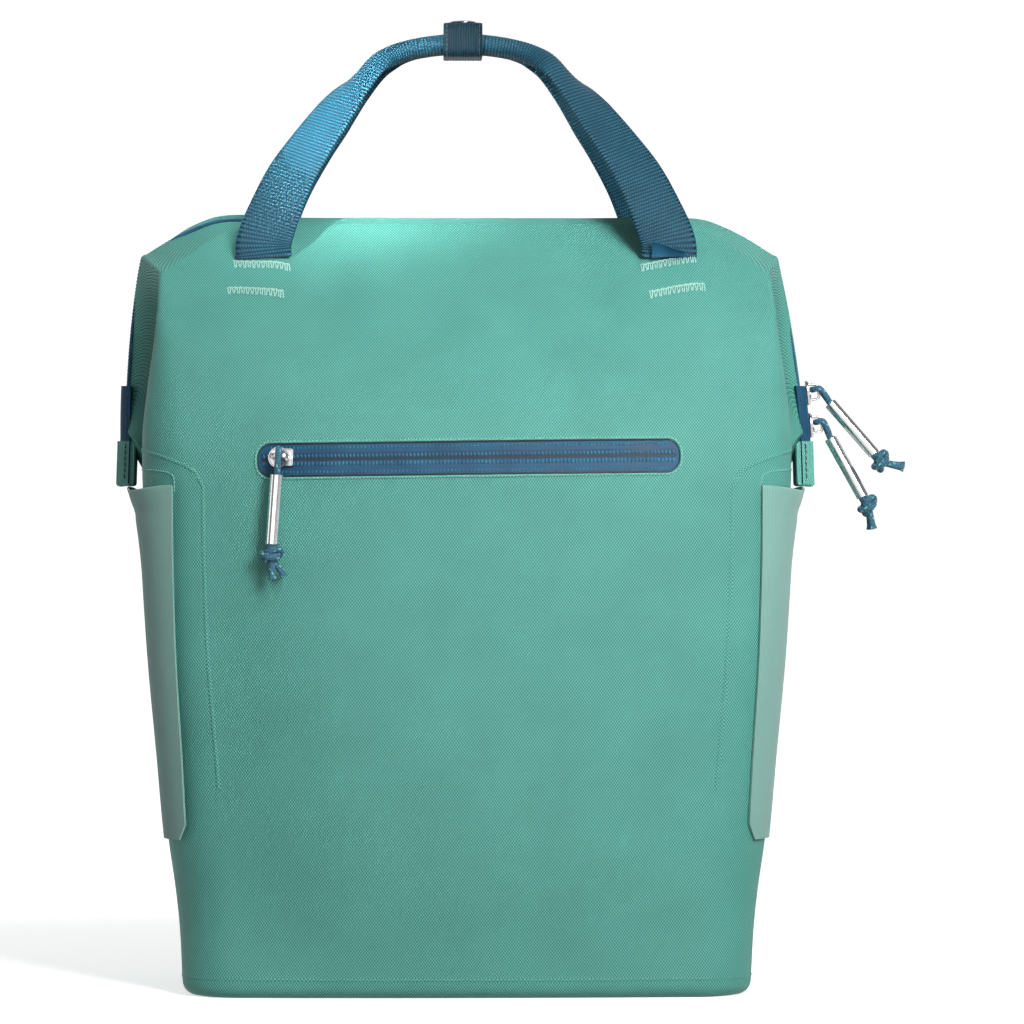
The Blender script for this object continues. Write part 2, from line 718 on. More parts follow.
def metal(name, shade, roughness, streak):
    """Polished metal with faint turning marks and a little handling wear."""
    made = Finish(name, roughness=roughness, metallic=1.0)
    marks = made.noise(900, 2, streak)
    wear = made.noise(160, 3)
    made.colour(made.mix(made.range(wear, 0.35, 0.7, 0, 1), shade, tuple(v * 0.9 for v in shade[:3]) + (1,)))
    made.put(made.shader.inputs["Roughness"], made.range(wear, 0.3, 0.7, roughness * 0.8, roughness * 1.5))
    made.bump(marks, 0.01, 0.4)
    return made.material


def moulded(name, dark, light):
    """Fine matt moulded plastic."""
    made = Finish(name, roughness=0.42)
    grain = made.noise(1800, 2)
    made.colour(made.mix(made.range(made.noise(45, 3), 0.3, 0.7, 0, 1), dark, light))
    made.put(made.shader.inputs["Roughness"], made.range(grain, 0.3, 0.7, 0.36, 0.5))
    made.bump(grain, 0.03, 0.5)
    return made.material


BODY_CLOTH = twill("body_cloth", srgb(36, 116, 106), srgb(112, 188, 174))
EDGE_CLOTH = twill("edge_cloth", srgb(78, 152, 139), srgb(122, 190, 176))
POCKET_KNIT = knit("pocket_knit", srgb(100, 150, 142), srgb(142, 186, 175))
LOOP_WEB = ribbed("loop_webbing", srgb(2, 24, 36), srgb(42, 104, 128))
KEEPER_WEB = ribbed("keeper_webbing", srgb(2, 18, 26), srgb(18, 58, 74), rib=1.3, dot=1.0)
ZIP_TAPE = tape("zip_tape", srgb(16, 66, 96), srgb(28, 84, 116))
ZIP_COIL = tape("zip_coil", srgb(40, 104, 134), srgb(70, 134, 160))
ZIP_UNDER = tape("zip_under", srgb(16, 50, 76), srgb(22, 60, 88))
ZIP_LINE = moulded("zip_line", srgb(8, 18, 26), srgb(12, 26, 36))
LABEL_TAPE = tape("label_tape", srgb(20, 72, 102), srgb(32, 92, 124))
CORD_BRAID = braid("cord_braid", srgb(18, 68, 92), srgb(56, 122, 148), srgb(130, 205, 190))
PALE_THREAD = thread("pale_thread", srgb(140, 198, 186), srgb(186, 226, 214))
DARK_THREAD = thread("dark_thread", srgb(16, 44, 62), srgb(44, 84, 106))
STEEL = metal("polished_steel", (0.86, 0.86, 0.87, 1), 0.12, (1, 1, 14))
CAST = metal("slider_metal", (0.66, 0.65, 0.66, 1), 0.2, (1, 1, 1))
NYLON = moulded("buckle_nylon", srgb(20, 58, 78), srgb(30, 76, 98))


# Body


def quarter_steps():
    front = np.concatenate([np.linspace(0, 0.7, 22), np.linspace(0.7, 1, 15)[1:]])
    corner = np.linspace(1, 2, 11)[1:]
    side = np.concatenate([np.linspace(2, 2.9, 23)[1:], [2.925, 2.95, 2.975, 3]])
    return np.concatenate([front, corner, side])


def body_shell():
    """The outer cloth and the inner layer, one closed mesh joined along the mouth, with its welded seams."""
    q = quarter_steps()
    back = q[1:-1][::-1]
    around = np.concatenate([q, back, q[:1], q[1:], back])
    side_x = np.concatenate([np.ones(len(q) + len(back) + 1), -np.ones(len(q) - 1 + len(back))])
    side_y = np.concatenate([np.ones(len(q)), -np.ones(len(back) + 1 + len(q) - 1), np.ones(len(back))])
    edge = BASE_EDGE * np.array([0, 0.08, 0.25, 0.5, 0.75]) / SPRING
    walls = np.linspace(BASE_EDGE / SPRING, 1, 58)
    top = np.concatenate([
        np.linspace(0, ELBOW_TURN - 0.03, 34)[1:],
        [ELBOW_TURN - 0.015, ELBOW_TURN - 0.005, ELBOW_TURN, ELBOW_TURN + 0.02],
        np.linspace(ELBOW_TURN + 0.05, 1, 8),
    ])
    heights = np.concatenate([edge, walls, 1 + top])
    outer = skin(around[None], heights[:, None], side_x[None], side_y[None])[0]
    outer[0, :, 2] = 0
    inside = np.concatenate([np.linspace(PAD / SPRING, 1, 8), 1 + np.linspace(0, 1, 12)[1:]])[::-1]
    plain = body_point(around[None], inside[:, None])
    inward = body_normal(around[None], inside[:, None])
    thin = np.clip((inside - 1) / 0.3, 0, 1)[:, None, None]
    inner = plain - inward * lerp(PAD, SKIN, thin)
    near_u = body_point(np.maximum(around - 1e-3, 0), 2.0)
    far_u = body_point(np.minimum(around + 1e-3, 3), 2.0)
    way = unit(stack(far_u[:, 0] - near_u[:, 0], 0, far_u[:, 2] - near_u[:, 2]))
    inner[0] = body_point(around, 2.0) + SKIN * stack(way[:, 2], 0, -way[:, 0])
    inner = inner * stack(side_x, side_y, 1.0)[None]
    inner = leaned(inner + fallen_back(around[None], side_x[None], side_y, inner[..., 2]))
    inner[-1, :, 2] = PAD
    points = np.concatenate([outer, inner])
    build = Build()
    build.grid(points, closed=True, u=cloth_around(points), v=cloth_up(points, len(heights)), caps=True)
    shown = np.clip(heights - 1, 0, 1)[:, None]
    inside_fold = smooth(2.0, 2.25, around)[None] * smooth(2.97, 2.72, around)[None]
    shade = inside_fold * np.sin(math.pi * np.clip(shown * 1.05, 0, 1)) ** 0.6
    shade = np.concatenate([shade, np.zeros(inner.shape[:2])]).ravel()
    seams(build)
    made = build.make("body", BODY_CLOTH, EDGE_CLOTH)
    fold = made.data.attributes.new("fold", "FLOAT", "POINT")
    fold.data.foreach_set("value", np.resize(np.append(shade, np.zeros(build.count - len(shade))), build.count))
    return settle(made, "fabric", "body_shell")


def cloth_around(points):
    """Each quad's two places along its row, measured both ways from the front's middle and meeting behind."""
    steps = np.linalg.norm((np.roll(points, -1, axis=1) - points)[..., :2], axis=-1)
    end = np.cumsum(steps, axis=1)
    start = end - steps
    half = points.shape[1] // 2
    back = np.where(np.arange(points.shape[1]) >= half, end[:, -1:], 0)
    return np.stack([start - back, end - back], -1)


def cloth_up(points, outer):
    """The cloth's height: the way up the front's middle at the same level, so that its rows lie level."""
    middle = distances(points[:outer, 0])
    up = np.interp(points[:outer, :, 2], points[:outer, 0, 2], middle)
    within = np.linalg.norm(np.diff(points[outer - 1:], axis=0), axis=-1)
    up = np.vstack([up, up[-1:] + np.cumsum(within, axis=0)])
    return np.concatenate([up, up[:, :1]], 1)


# Welded seams on the body

POCKET_TOP = 257.0  # hem of the side pockets
POCKET_FOOT = 79.0
SEAM_TOP = 25.0  # the pockets' front and back edges, in degrees round the corner, at the hem
SEAM_FOOT = 38.0  # and at the foot
BASE_WELD = 9.5
SIDE_BEAD, PATCH_BEAD, BASE_BEAD = (2.2, 0.35), (1.0, 0.4), (1.6, 0.25)  # width and height
QUARTERS = [(side_x, side_y) for side_x in (1.0, -1.0) for side_y in (1.0, -1.0)]


def bead(build, around, height, side_x, side_y, width, proud, slot=0):
    """A low raised line on the body along a path of places on it."""
    path, out = skin(around, height, side_x, side_y)
    along = heading(path)
    across = np.cross(out, along)
    rows = []
    for share, rise in [(-0.5, -0.25), (-0.36, 0.6), (-0.12, 1), (0.12, 1), (0.36, 0.6), (0.5, -0.25)]:
        rows.append(path + across * (share * width) + out * (rise * proud))
    points = np.stack(rows, 1)
    build.grid(points, u=np.linspace(0, width, len(rows)), v=distances(path), slot=slot, flip=True)


def seams(build):
    """The side panels' edge on the front and back, the patch round each pocket's mouth, and the base weld."""
    turn = np.linspace(0, math.pi / 2, 9)
    up = np.linspace(0.4, 0.98, 24)
    corner = through([(0.985, 0.98, 0), (0.99, 1.0, 0), (1.1, 1.035, 0), (1.45, 1.075, 0), (2, 1.1, 0)], 20)
    around = np.concatenate([1.03 - 0.045 * up / 0.98, corner[:, 0]])
    height = np.concatenate([up, corner[:, 1]])
    hem = POCKET_TOP / SPRING
    first = 1 + SEAM_TOP / 90
    bend = np.stack([first + 0.22 * (1 - np.cos(turn)), hem + 0.012 + 0.026 * np.sin(turn)], -1)
    run = np.stack([np.linspace(first + 0.24, 3, 22), np.linspace(hem + 0.04, hem + 0.056, 22)], -1)
    patch = np.vstack([[first, hem - 0.01], bend, run])
    for side_x, side_y in QUARTERS:
        bead(build, around, height, side_x, side_y, *SIDE_BEAD)
        bead(build, patch[:, 0], patch[:, 1], side_x, side_y, *PATCH_BEAD, 1)
    for side_x, side_y in QUARTERS:
        bead(build, np.linspace(0, 3, 60), np.full(60, BASE_WELD / SPRING), side_x, side_y, *BASE_BEAD)


# Mouth's zip, its end strips and tabs


def mouth_edge(around):
    p = upper_point(around, np.ones_like(around))
    return stack(p[..., 0], 0, p[..., 2])


def strip_along(build, path, width, thickness, lift, slot=0):
    """A strip along a path in the plane y = 0; `lift` is its outer face above the path."""
    along = heading(path)
    out = outward(along)
    outline = rounded(width, thickness, thickness * EDGE_ROUND, 2)
    middle = path + out * (lift - thickness / 2)
    ring = middle[:, None] + out[:, None] * outline[None, :, 1:2]
    ring = ring + np.array([0, 1.0, 0]) * outline[None, :, 0:1]
    build.grid(ring, closed=True, u=girth_of(outline), v=distances(path), slot=slot, caps=True)


def both_ways(right):
    left = right[1:][::-1] * np.array([-1.0, 1, 1])
    return leaned(np.vstack([left, right]))


def bumps(build, places, along, across, out, size, slot=0, rings=3, sides=6):
    """Small rounded knobs, such as coil teeth and stitches; `size` is length across, width along and height."""
    a = full_turn(sides)
    levels = np.linspace(0, math.pi / 2, rings + 1)[:-1]
    for p, t, b, n in zip(places, along, across, out):
        rows = []
        for level in levels:
            r, h = math.cos(level), math.sin(level)
            rows.append(p + r * (b * (size[0] / 2) * np.cos(a)[:, None] + t * (size[1] / 2) * np.sin(a)[:, None])
                        + n * (h * size[2]))
        start = build.count
        rows = np.array(rows)
        build.grid(rows, closed=True, slot=slot, u=np.linspace(0, 2, sides + 1), v=np.linspace(0, 1, len(rows)))
        build.cap(start + (len(rows) - 1) * sides, sides, p + n * size[2], slot, False)


def evenly(path, pitch):
    at = distances(path)
    count = int(at[-1] / pitch)
    spread = np.linspace(pitch / 2, at[-1] - pitch / 2, count)
    return sampled(path, at, spread)


ZIP_RECESS = 0.4  # zip face below the mouth's edge
EDGE_ROUND = 0.45  # share of a strip's thickness that its long edges are rounded by
PARTING_WIDTH, PARTING_THICKNESS, PARTING_RISE = 0.7, 0.5, 0.12
TAPE_THICKNESS = 1.6
COIL_HEIGHT = 0.6
TOOTH_PITCH = 1.85
MOUTH_TEETH = [(1.6, (2.2, 1.2, COIL_HEIGHT)), (4.6, (1.6, 0.7, 0.35))]  # place across and size


def zip_run(build, path, lift, rows):
    """Rows of coil teeth along a path in the plane y = 0."""
    places = evenly(path, TOOTH_PITCH)
    along = heading(places)
    out = outward(along)
    across = np.broadcast_to([0, 1.0, 0], along.shape)
    for side, offset, size in rows:
        bumps(build, places + across * (side * offset) + out * lift, along, across, out, size, 1)


def mouth_zip():
    build = Build()
    around = np.concatenate([np.linspace(0, 0.7, 20), np.linspace(0.7, 1, 16)[1:], np.linspace(1, 2, 8)[1:],
                             np.linspace(2, 3 - MOUTH_END, 22)[1:]])
    path = both_ways(mouth_edge(around))
    strip_along(build, path, ZIP_WIDTH, TAPE_THICKNESS, -ZIP_RECESS)
    strip_along(build, path[1:-1], PARTING_WIDTH, PARTING_THICKNESS, PARTING_RISE - ZIP_RECESS, 2)
    rows = [(side, offset, size) for offset, size in MOUTH_TEETH for side in (-1, 1)]
    zip_run(build, path, -ZIP_RECESS - 0.05, rows)
    return settle(build.make("mouth_zip_tape", ZIP_TAPE, ZIP_COIL, ZIP_LINE), "zip", "mouth_zip")


MOUTH_FOOT = (WIDTH / 2 + FIN_REACH, SPRING + FIN_FOOT)
STRIP_WIDTH, STRIP_THICKNESS, STRIP_TOP, STRIP_TAIL = 20.0, 1.6, 27.0, 23.0
TAB_WIDTH, TAB_THICKNESS, TAB_CLEARANCE = 23.0, 1.2, 1.5
STRIP_LIFT = COIL_HEIGHT + GAP + STRIP_THICKNESS
STRIP_FOOT = MOUTH_FOOT[1] - STRIP_TAIL


def end_path(side, high, low, count):
    """The mouth's line and its straight run on below the mouth's end."""
    top = upper_point(np.array(2.0), np.array(1.0))
    z = np.linspace(high, low, count)
    slope = (MOUTH_FOOT[0] - top[0]) / (top[2] - MOUTH_FOOT[1])
    share = (top[2] - z) / (top[2] - MOUTH_FOOT[1])
    bowed = FIN_BOW * np.where(share < 1, 4 * share * (1 - share), 4 * (1 - share))
    path = stack(side * (MOUTH_FOOT[0] + slope * (MOUTH_FOOT[1] - z) + bowed), 0, z)
    path = leaned(path)
    return path[::-1] if side < 0 else path


def dashes(build, path, out, length, pitch, radius, slot):
    """A run of stitches just proud of a surface: each a short thread that dips at both ends."""
    at = distances(path)
    start = pitch / 2
    while start + length < at[-1]:
        spread = np.linspace(start, start + length, 6)
        p = sampled(path, at, spread)
        n = sampled(out, at, spread)
        dip = np.sin(np.linspace(0, math.pi, 6))[:, None]
        tube(build, p + n * (radius * (1.1 * dip - 0.5)), radius, 6, slot)
        start += pitch


WING_HALF = 7.0  # the strips lie flat over this half width, and their edges fold back round the mouth's end
WING_BEND = 2.5
WING_TURN = math.radians(62)
WING_EXTRA = 7.0  # cloth that the folded edges add to a strip's width

# Runs of stitches: a stitch's length, the pitch and the thread's radius
WING_STITCH = (2.2, 3.1, 0.3)
KEEPER_STITCH = (1.6, 2.4, 0.22)
PAD_STITCH = (2.4, 3.6, 0.3)
PATCH_STITCH = (2.2, 3.2, 0.28)


def winged(across):
    """Places across a strip with folded edges, how far they lie inwards, and how far their normals turn."""
    side = np.sign(across)
    over = np.maximum(np.abs(across) - WING_HALF, 0)
    turn = np.minimum(over / WING_BEND, WING_TURN)
    rest = np.maximum(over - WING_BEND * WING_TURN, 0)
    y = np.minimum(np.abs(across), WING_HALF) + WING_BEND * np.sin(turn) + rest * np.cos(turn)
    inward = WING_BEND * (1 - np.cos(turn)) + rest * np.sin(turn)
    return side * y, inward, turn * side


def winged_strip(build, line, face, inner, width, thickness, flip=False):
    """A folded-edge strip along a line; `face` is each station's outward way and `inner` points to the bag."""
    steps = 14
    flat = np.linspace(-width / 2, width / 2, steps)
    across = np.concatenate([flat, flat[::-1]])
    rise = np.concatenate([np.full(steps, -0.5), np.full(steps, 0.5)]) * thickness
    y, inward, turn = winged(across)
    ring = line[:, None] + np.array([0, 1.0, 0]) * y[None, :, None] + inner * inward[None, :, None]
    out = face[:, None] * np.cos(turn)[None, :, None] + np.array([0, 1.0, 0]) * np.sin(turn)[None, :, None]
    ring = ring + out * rise[None, :, None]
    girth = distances(np.stack([across, rise], -1))
    around = np.append(girth, girth[-1] + thickness)
    build.grid(ring, closed=True, u=around, v=distances(line), caps=True, flip=flip)


def wing_stitches(build, line, out, inner, across, thickness):
    y, inward, turn = winged(np.array([across]))
    way = out * math.cos(turn[0]) + np.array([0, 1.0, 0]) * math.sin(turn[0])
    dashes(build, line + [0, y[0], 0] + inner * inward[0] + way * thickness / 2, way, *WING_STITCH, 1)


def end_strip(side, word):
    build = Build()
    path = end_path(side, MOUTH_FOOT[1] + STRIP_TOP, STRIP_FOOT, 22)
    along = heading(path)
    out = outward(along)
    line = path + out * (STRIP_LIFT - STRIP_THICKNESS / 2)
    inner = np.array([-side, 0.0, 0.0])
    width = STRIP_WIDTH + WING_EXTRA
    winged_strip(build, line, out, inner, width, STRIP_THICKNESS)
    for across in (-width / 2 + 1.8, width / 2 - 1.8):
        wing_stitches(build, line, out, inner, across, STRIP_THICKNESS)
    made = build.make(f"zip_end_strip_{word}_cloth", ZIP_TAPE, DARK_THREAD)
    return settle(made, "zip", f"zip_end_strip_{word}")


def end_tab(side, word):
    """A strip of body cloth folded under the end of the zip's strip, with its raw edges stitched."""
    build = Build()
    path = end_path(side, MOUTH_FOOT[1] - TAB_CLEARANCE, STRIP_FOOT - GAP, 14)
    if side < 0:
        path = path[::-1]
    along = heading(path)
    out = side * outward(along)
    lift = STRIP_LIFT + GAP + TAB_THICKNESS / 2
    depth = STRIP_THICKNESS + 2 * GAP + TAB_THICKNESS
    front = path + out * lift
    back = path + out * (lift - depth)
    turn = np.linspace(0, math.pi, 9)[1:-1]
    middle = (front[-1] + back[-1]) / 2
    fold = middle + out[-1] * (depth / 2) * np.cos(turn)[:, None] + along[-1] * 1.1 * np.sin(turn)[:, None]
    line = np.vstack([front, fold, back[::-1]])
    way = heading(line)
    face = unit(np.cross(way, [0, 1.0, 0])) * -side
    inner = np.array([-side, 0.0, 0.0])
    width = TAB_WIDTH + WING_EXTRA - 1
    winged_strip(build, line, face, inner, width, TAB_THICKNESS, flip=side > 0)
    for across in (-width / 2 + 1.6, width / 2 - 1.6):
        wing_stitches(build, front, out, inner, across, TAB_THICKNESS)
    made = build.make(f"zip_end_tab_{word}_cloth", EDGE_CLOTH, DARK_THREAD)
    return settle(made, "fabric", f"zip_end_tab_{word}")


# Front pocket's zip

FRONT_ZIP_LENGTH, FRONT_ZIP_HEIGHT = 211.0, 16.0
FRONT_ZIP_X, FRONT_ZIP_Z = 0.5, 271.0
FRONT_ZIP_FACE = 0.3  # tape's face above the panel
FRONT_TILT = 0.012  # the right end stands a little higher
FRONT_ROUND, FRONT_RIM = 6.8, 0.35  # its rounded ends, and the tape's turned edge
FRONT_TEETH = [(2.0, (2.7, 1.3, 0.85)), (6.1, (1.7, 0.8, 0.45))]


def zip_place(along, across, lift):
    """A place on the front zip, from its middle."""
    x = FRONT_ZIP_X + np.asarray(along, float)
    z = FRONT_ZIP_Z + across + FRONT_TILT * np.asarray(along, float)
    return on_panel(x, z, lift)


def front_zip():
    build = Build()
    half, tall = FRONT_ZIP_LENGTH / 2, FRONT_ZIP_HEIGHT / 2
    outline = rounded(FRONT_ZIP_LENGTH, FRONT_ZIP_HEIGHT, FRONT_ROUND, 8)
    rows = []
    for rise, inset in [(-1.2, 0), (FRONT_ZIP_FACE - 0.25, 0), (FRONT_ZIP_FACE, FRONT_RIM)]:
        u, v = outline[:, 0] * (1 - inset / half), outline[:, 1] * (1 - inset / tall)
        rows.append(zip_place(u, v, rise)[0])
    build.grid(np.array(rows), closed=True, u=girth_of(outline), v=[0, 1.4, 1.8])
    v = np.linspace(-1, 1, 13) * (tall - FRONT_RIM)
    over = np.maximum(np.abs(v) - tall + FRONT_ROUND, 0)
    reach = half - FRONT_ROUND + np.sqrt(np.maximum(FRONT_ROUND**2 - over**2, 0)) - FRONT_RIM
    u = np.linspace(-1, 1, 90)
    face = zip_place(u[None] * reach[:, None], v[:, None], FRONT_ZIP_FACE)[0]
    build.grid(face, u=u * half, v=v)
    up = np.array([0, 0, 1.0])
    for width, lift, slot in ((3.5, 0.03, 4), (0.42, 0.34, 2)):
        centre = np.linspace(-half + 1.6, half - 1.6, 110)
        line, out = zip_place(centre, 0.0, FRONT_ZIP_FACE)
        under = np.stack([line - up * width - out * 0.1, line - up * width * 0.9 + out * lift,
                          line + up * width * 0.9 + out * lift, line + up * width - out * 0.1], 1)
        build.grid(under, slot=slot)
    count = int((FRONT_ZIP_LENGTH - 6) / TOOTH_PITCH)
    teeth = np.linspace(-half + 3, half - 3, count)
    for offset, size in FRONT_TEETH:
        for side in (-1, 1):
            keep = np.abs(teeth) < half - (1.8 if offset < 3 else 6.0)
            p, n = zip_place(teeth[keep], side * offset, FRONT_ZIP_FACE - 0.06)
            along = unit(np.broadcast_to([1.0, 0, 0.16 * side], p.shape))
            across = np.cross(n, along)
            bumps(build, p, along, across, n, size, 1)
    way = girth_of(outline)
    rim = sampled(closed_up(outline), way, np.linspace(0, way[-1], 220))
    for grow, lift, radius, slot in ((0.1, 0.05, 0.42, 2), (1.15, 0.0, 0.75, 3)):
        edge, n = zip_place(rim[:, 0] * (1 + grow / half), rim[:, 1] * (1 + grow / tall), 0.0)
        tube(build, edge + n * lift, radius, 8, slot, ends=False)
    made = build.make("front_zip_tape", ZIP_TAPE, ZIP_COIL, ZIP_LINE, EDGE_CLOTH, ZIP_UNDER)
    return settle(made, "zip", "front_pocket_zip")


# Side pockets

POCKET_SHEET = 1.4
POCKET_CLEARANCE = 0.6
POCKET_BULGE = 8.0
POCKET_BULGE_DROP = 48.0
FOOT_ROUND = 7.0
MIRROR_BACK = np.array([1.0, -1, 1])


def side_pocket(side, word):
    """A stretch sheet on the lower wall that stands off it at the hem, which is folded over."""
    build = Build()
    share = 1 - (1 - np.linspace(0, 1, 34)) ** 1.5
    z = lerp(POCKET_FOOT, POCKET_TOP, share)[:, None]
    seam = 1 + lerp(SEAM_FOOT, SEAM_TOP, share)[:, None] / 90
    turn = np.clip((z - POCKET_FOOT) / FOOT_ROUND, 0, 1)
    seam = seam + 0.1 * (1 - np.sqrt(np.maximum(1 - (1 - turn) ** 2, 0)))
    half = lerp(seam, 3.0, np.linspace(0, 1, 26)[None] ** 0.9)
    swell = POCKET_BULGE * np.clip((z - POCKET_TOP + POCKET_BULGE_DROP) / POCKET_BULGE_DROP, 0, 1) ** 2
    spread = np.sin(math.pi / 2 * (half - seam) / (3 - seam))
    pull = 0.6 * hump(share[:, None], 0.93, 0.02) * smooth(0, 0.2, spread)
    sag = 2.6 * smooth(0.9, 1, share)[:, None] * hump(spread, 0.55, 0.35)

    def face(thickness):
        p = skin(half, z / SPRING, 1.0, 1.0, POCKET_CLEARANCE + thickness)[0]
        p = p + stack(swell * spread - pull * (thickness > 0.5), 0, -sag)
        back = p[:, :-1][:, ::-1] * MIRROR_BACK
        return np.concatenate([p, back], 1)

    outer, inner = face(POCKET_SHEET), face(0.0)
    top_outer = lerp(outer[-1:], inner[-1:], 0.15) + [0, 0, 0.55]
    top_middle = lerp(outer[-1:], inner[-1:], 0.5) + [0, 0, 0.8]
    top_inner = lerp(outer[-1:], inner[-1:], 0.85) + [0, 0, 0.55]
    turned = np.array([side, 1, 1])
    rows = np.concatenate([outer, top_outer, top_middle, top_inner, inner[::-1]]) * turned
    build.grid(rows, u=distances(outer[20]), v=distances(rows[:, rows.shape[1] // 4]), flip=side < 0)
    for edge in (0, -1):
        pair = np.stack([outer[:, edge], inner[:, edge]], 1)
        build.grid(pair * turned, flip=(edge == 0) == (side > 0))
    build.grid(np.stack([outer[0], inner[0]], 1) * turned, flip=side < 0)
    made = build.make(f"side_pocket_{word}_knit", POCKET_KNIT)
    return settle(made, "stretch", f"side_pocket_{word}")


# Carry loops

WEB_WIDTH, WEB_THICKNESS = 28.0, 1.8
GRIP_SHIFT, BACK_SHIFT = -1.5, -3.5
LOOP_TOP = LOOP_FOOT + 116.0
GRIP_TURN = math.radians(335)
GRIP_FLATNESS = 0.86
LOOP_SIDES = 13  # places across the webbing
RIB_GROWTH, RIB_RELIEF = 0.014, 0.16
LOOP_CLEARANCE = 1.0
FOOT_SLANT = 6.0  # degrees by which the webbing's ends slope down towards each other
RIB = 1.8
LOOPS = {
    "at": [0, 0.1, 0.2, 0.31, 0.42, 0.51, 0.6, 0.7, 0.79, 0.86, 0.94, 1],
    "across": [1, 0.993, 0.94, 0.86, 0.75, 0.645, 0.545, 0.455, 0.36, 0.25, 0.11, 0],
    "rise": [0, 0.08, 0.21, 0.365, 0.52, 0.65, 0.785, 0.897, 0.95, 0.98, 0.999, 1],
    "inward": [0, -0.02, 0.02, 0.14, 0.33, 0.52, 0.64, 0.77, 0.93, 1, 1, 1],
    "twist": [6, 12, 22, 31, 41, 48, 62, 78, 88, 90, 90, 90],
    "roll": [0, 0, 0, 0, 0, 0, 0.14, 0.5, 0.85, 1, 1, 1],
}

grip_bend = WEB_WIDTH / GRIP_TURN
GRIP_RADIUS = grip_bend / math.sqrt(GRIP_FLATNESS) + WEB_THICKNESS / 2
GRIP_HEIGHT = 2 * grip_bend * GRIP_FLATNESS + WEB_THICKNESS
GRIP_PLANE = GRIP_RADIUS + GAP
foot_panel = float(lean_depth(LOOP_FOOT) + bow(LOOP_SPAN / WIDTH, LOOP_FOOT))
LOOP_FOOT_Y = -foot_panel - LOOP_CLEARANCE - WEB_THICKNESS / 2


def loop_section(roll, sides):
    """Half section of webbing rolled about its middle line: across and outward places of both faces."""
    turn = max(GRIP_TURN * roll, 0.035)
    radius = WEB_WIDTH / turn
    flatness = lerp(1, GRIP_FLATNESS, roll)
    a = turn * (np.linspace(0, 1, sides) - 0.5)
    sections = []
    for offset in (WEB_THICKNESS / 2, -WEB_THICKNESS / 2):
        across = (radius + offset) * np.sin(a) / math.sqrt(flatness)
        out = (-radius * (1 - np.cos(a)) + offset * np.cos(a) - offset) * flatness + offset
        sections.append(np.stack([across, out], -1))
    return sections


def carry_loop(shift, side_y, word):
    build = Build()
    at = np.linspace(0, 1, 400)
    half = {key: look_up(LOOPS, key, at) for key in ("across", "rise", "inward", "twist", "roll")}
    half["roll"] = np.clip(half["roll"], 0, 1)
    sides = [(-1, slice(None)), (1, slice(-2, None, -1))]
    places, twists, rolls = [], [], []
    for side, part in sides:
        across, rise = half["across"][part], half["rise"][part]
        x = side * LOOP_SPAN / 2 * across + lerp(shift, GRIP_SHIFT, rise)
        y = lerp(LOOP_FOOT_Y, -GRIP_PLANE, half["inward"][part])
        places.append(stack(x, y, lerp(LOOP_FOOT, LOOP_TOP, rise)))
        twists.append(half["twist"][part])
        rolls.append(half["roll"][part])
    path = np.vstack(places)
    twist, roll = np.radians(np.concatenate(twists)), np.concatenate(rolls)
    length = distances(path)
    count = int(length[-1] / RIB) * 5
    spread = np.linspace(0, length[-1], count)
    path = sampled(path, length, spread)
    twist, roll = np.interp(spread, length, twist), np.interp(spread, length, roll)
    along = heading(path)
    upward = unit(outward(along))
    facing = np.array([0, -1.0, 0]) * np.cos(twist)[:, None] + upward * np.sin(twist)[:, None]
    across = unit(np.cross(along, facing))
    out = unit(np.cross(across, along))
    slant = math.radians(FOOT_SLANT) * (smooth(20, 2, spread) - smooth(spread[-1] - 20, spread[-1] - 2, spread))
    across = unit(across + along * np.tan(slant)[:, None])
    rows = []
    flatter = 1 - np.linspace(-1, 1, LOOP_SIDES) ** 6
    for i, s in enumerate(spread):
        outer, inner = loop_section(roll[i], LOOP_SIDES)
        ripple = 0.5 - 0.5 * math.cos(2 * math.pi * s / RIB)
        grow = 1 + RIB_GROWTH * ripple
        plump = RIB_RELIEF * (ripple - 0.5) * flatter
        flat_out = np.stack([outer[:, 0] * grow, outer[:, 1] + plump], -1)
        flat_in = np.stack([inner[:, 0] * grow, inner[:, 1] - plump], -1)
        far = (flat_out[-1] + flat_in[-1]) / 2 + (flat_out[-1] - flat_out[-2]) * 0.2
        near = (flat_out[0] + flat_in[0]) / 2 - (flat_out[1] - flat_out[0]) * 0.2
        ring = np.vstack([flat_out, far[None], flat_in[::-1], near[None]])
        rows.append(path[i] + across[i] * ring[:, :1] + out[i] * ring[:, 1:])
    rows = np.array(rows) * np.array([1.0, side_y, 1.0])
    flat = np.linspace(-WEB_WIDTH / 2, WEB_WIDTH / 2, LOOP_SIDES)
    u = np.concatenate([flat, [flat[-1] + 0.9], flat[::-1], [flat[0] - 0.9, flat[0]]])
    build.grid(rows, closed=True, u=u, v=spread, caps=True, flip=side_y > 0)
    return settle(build.make(f"carry_loop_{word}_webbing", LOOP_WEB, sharp=70), "webbing", f"carry_loop_{word}")


KEEPER_WIDTH, KEEPER_THICKNESS, KEEPER_CAP = 20.0, 1.8, 5.4
SNAP_DIAMETER, SNAP_HEIGHT = 16.5, 1.6
GRIP_MIDDLE = LOOP_TOP + WEB_THICKNESS / 2 - GRIP_HEIGHT / 2
KEEPER_TOP = LOOP_TOP + WEB_THICKNESS / 2 + GAP + KEEPER_CAP


